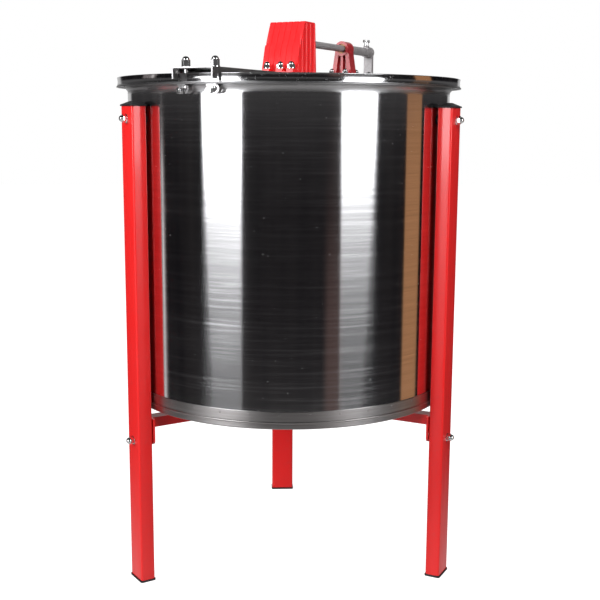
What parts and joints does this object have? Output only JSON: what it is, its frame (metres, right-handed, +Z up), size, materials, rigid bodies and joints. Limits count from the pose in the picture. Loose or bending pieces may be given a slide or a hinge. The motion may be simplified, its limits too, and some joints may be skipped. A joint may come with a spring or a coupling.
{
  "type": "honey extractor",
  "caption": "Hand-cranked honey extractor: a stainless drum on tubular legs, a crossbar with a bevel gear box and side crank, a wire cage for combs inside, hinged clear lids and a low gate.",
  "frame": {"origin": "on the drum axis, at the level of the floor it stands on", "axes": "+Z up along the drum axis; -Y towards the front, between the two front legs; the crossbar runs at 60 degrees from +X"},
  "size_m": [0.6633, 0.7716, 1.057],
  "materials": {
    "red_paint": "gloss",
    "red_casting": "gloss over cast texture",
    "black_plastic": "satin",
    "grip_plastic": "satin",
    "rubber": "matt",
    "clear_acrylic": "clear",
    "gate_nylon": "satin",
    "bronze": "machined",
    "gear_steel": "machined, oiled",
    "drum_stainless": "mirror with fine horizontal brushing",
    "rim_stainless": "polished",
    "hoop_stainless": "dull",
    "inner_stainless": "mill finish",
    "bar_stainless": "brushed",
    "cage_stainless": "welded, brushed",
    "crank_steel": "satin",
    "bright_fasteners": "bright"
  },
  "bodies": {
    "frame": {"base_arm_front_left": "red_paint", "base_arm_front_right": "red_paint", "base_arm_rear": "red_paint", "base_hub": "red_paint", "bracket_bolts": "bright_fasteners", "crossbar": "bar_stainless", "crossbar_cap_nuts": "bright_fasteners", "crossbar_clamp_hooks": "bar_stainless", "crossbar_studs": "bright_fasteners", "drum_base_hoop": "hoop_stainless", "drum_floor": "inner_stainless", "drum_rim": "rim_stainless", "drum_wall": "drum_stainless", "gate_body": "gate_nylon", "gate_gasket": "rubber", "gate_pivot_bolt": "bright_fasteners", "gate_ring_nut": "gate_nylon", "gear_base": "red_casting", "gear_cover": "red_casting", "gear_cover_bolts": "bright_fasteners", "leg_caps": "black_plastic", "leg_feet": "black_plastic", "leg_front_left": "red_paint", "leg_front_right": "red_paint", "leg_lower_bolts": "bright_fasteners", "leg_rear": "red_paint", "leg_spacers": "rubber", "leg_upper_bolts": "bright_fasteners", "lid_hinge_brackets": "bar_stainless", "pivot_ball": "bright_fasteners", "pivot_cup": "inner_stainless", "pivot_screws": "bright_fasteners", "shaft_bracket": "red_casting", "shaft_bushes": "bronze"},
    "cage": {"cage_shaft": "cage_stainless", "pinion": "gear_steel", "pinion_pin": "bright_fasteners", "cage_top_spider": "cage_stainless", "cage_bottom_spider": "cage_stainless", "cage_hoops": "cage_stainless", "cage_posts": "cage_stainless", "cage_guide_rods": "cage_stainless", "mesh_panel_1": "cage_stainless", "mesh_panel_2": "cage_stainless", "mesh_panel_3": "cage_stainless", "mesh_panel_4": "cage_stainless"},
    "crank": {"crank_shaft": "crank_steel", "crank_gear": "gear_steel", "crank_gear_pin": "bright_fasteners", "crank_hub": "crank_steel", "crank_arm": "crank_steel", "handle_spindle": "bright_fasteners"},
    "grip": {"handle_grip": "grip_plastic"},
    "crank_screw": {"crank_wing_screw": "bright_fasteners"},
    "lid_left": {"lid_left": "clear_acrylic", "lid_hinge_leaves_left": "bar_stainless"},
    "lid_right": {"lid_right": "clear_acrylic", "lid_hinge_leaves_right": "bar_stainless"},
    "gate_flap": {"gate_flap": "gate_nylon"},
    "gate_wing_nut": {"gate_wing_nut": "bright_fasteners"}
  },
  "joints": [
    {"name": "cage_spin", "type": "hinge", "parent": "frame", "child": "cage", "pos_m": [0, 0, 0.65], "axis": [0, 0, 1], "continuous": true},
    {"name": "crank_spin", "type": "hinge", "parent": "frame", "child": "crank", "pos_m": [0, 0, 1.0215], "axis": [0.5, 0.866, 0], "continuous": true},
    {"name": "grip_spin", "type": "hinge", "parent": "crank", "child": "grip", "pos_m": [0.22, 0.38105, 0.8515], "axis": [0.5, 0.866, 0], "continuous": true},
    {"name": "crank_screw_turn", "type": "hinge", "parent": "crank", "child": "crank_screw", "pos_m": [0.18575, 0.32173, 1.036], "axis": [0, 0, 1], "range_deg": [0, 360]},
    {"name": "lid_left_hinge", "type": "hinge", "parent": "frame", "child": "lid_left", "pos_m": [-0.0388, 0.0224, 0.9462], "axis": [0.5, 0.866, 0], "range_deg": [0, 90]},
    {"name": "lid_right_hinge", "type": "hinge", "parent": "frame", "child": "lid_right", "pos_m": [0.0388, -0.0224, 0.9462], "axis": [-0.5, -0.866, 0], "range_deg": [0, 90]},
    {"name": "gate_flap_swing", "type": "hinge", "parent": "frame", "child": "gate_flap", "pos_m": [-0.179, 0.31004, 0.416], "axis": [-0.5, 0.866, 0], "range_deg": [0, 100]},
    {"name": "gate_wing_nut_turn", "type": "hinge", "parent": "frame", "child": "gate_wing_nut", "pos_m": [-0.183, 0.31696, 0.416], "axis": [-0.5, 0.866, 0], "range_deg": [0, 360]}
  ],
  "couplings": [
    {"joint": "crank_spin", "follows": "cage_spin", "ratio": 0.5}
  ]
}
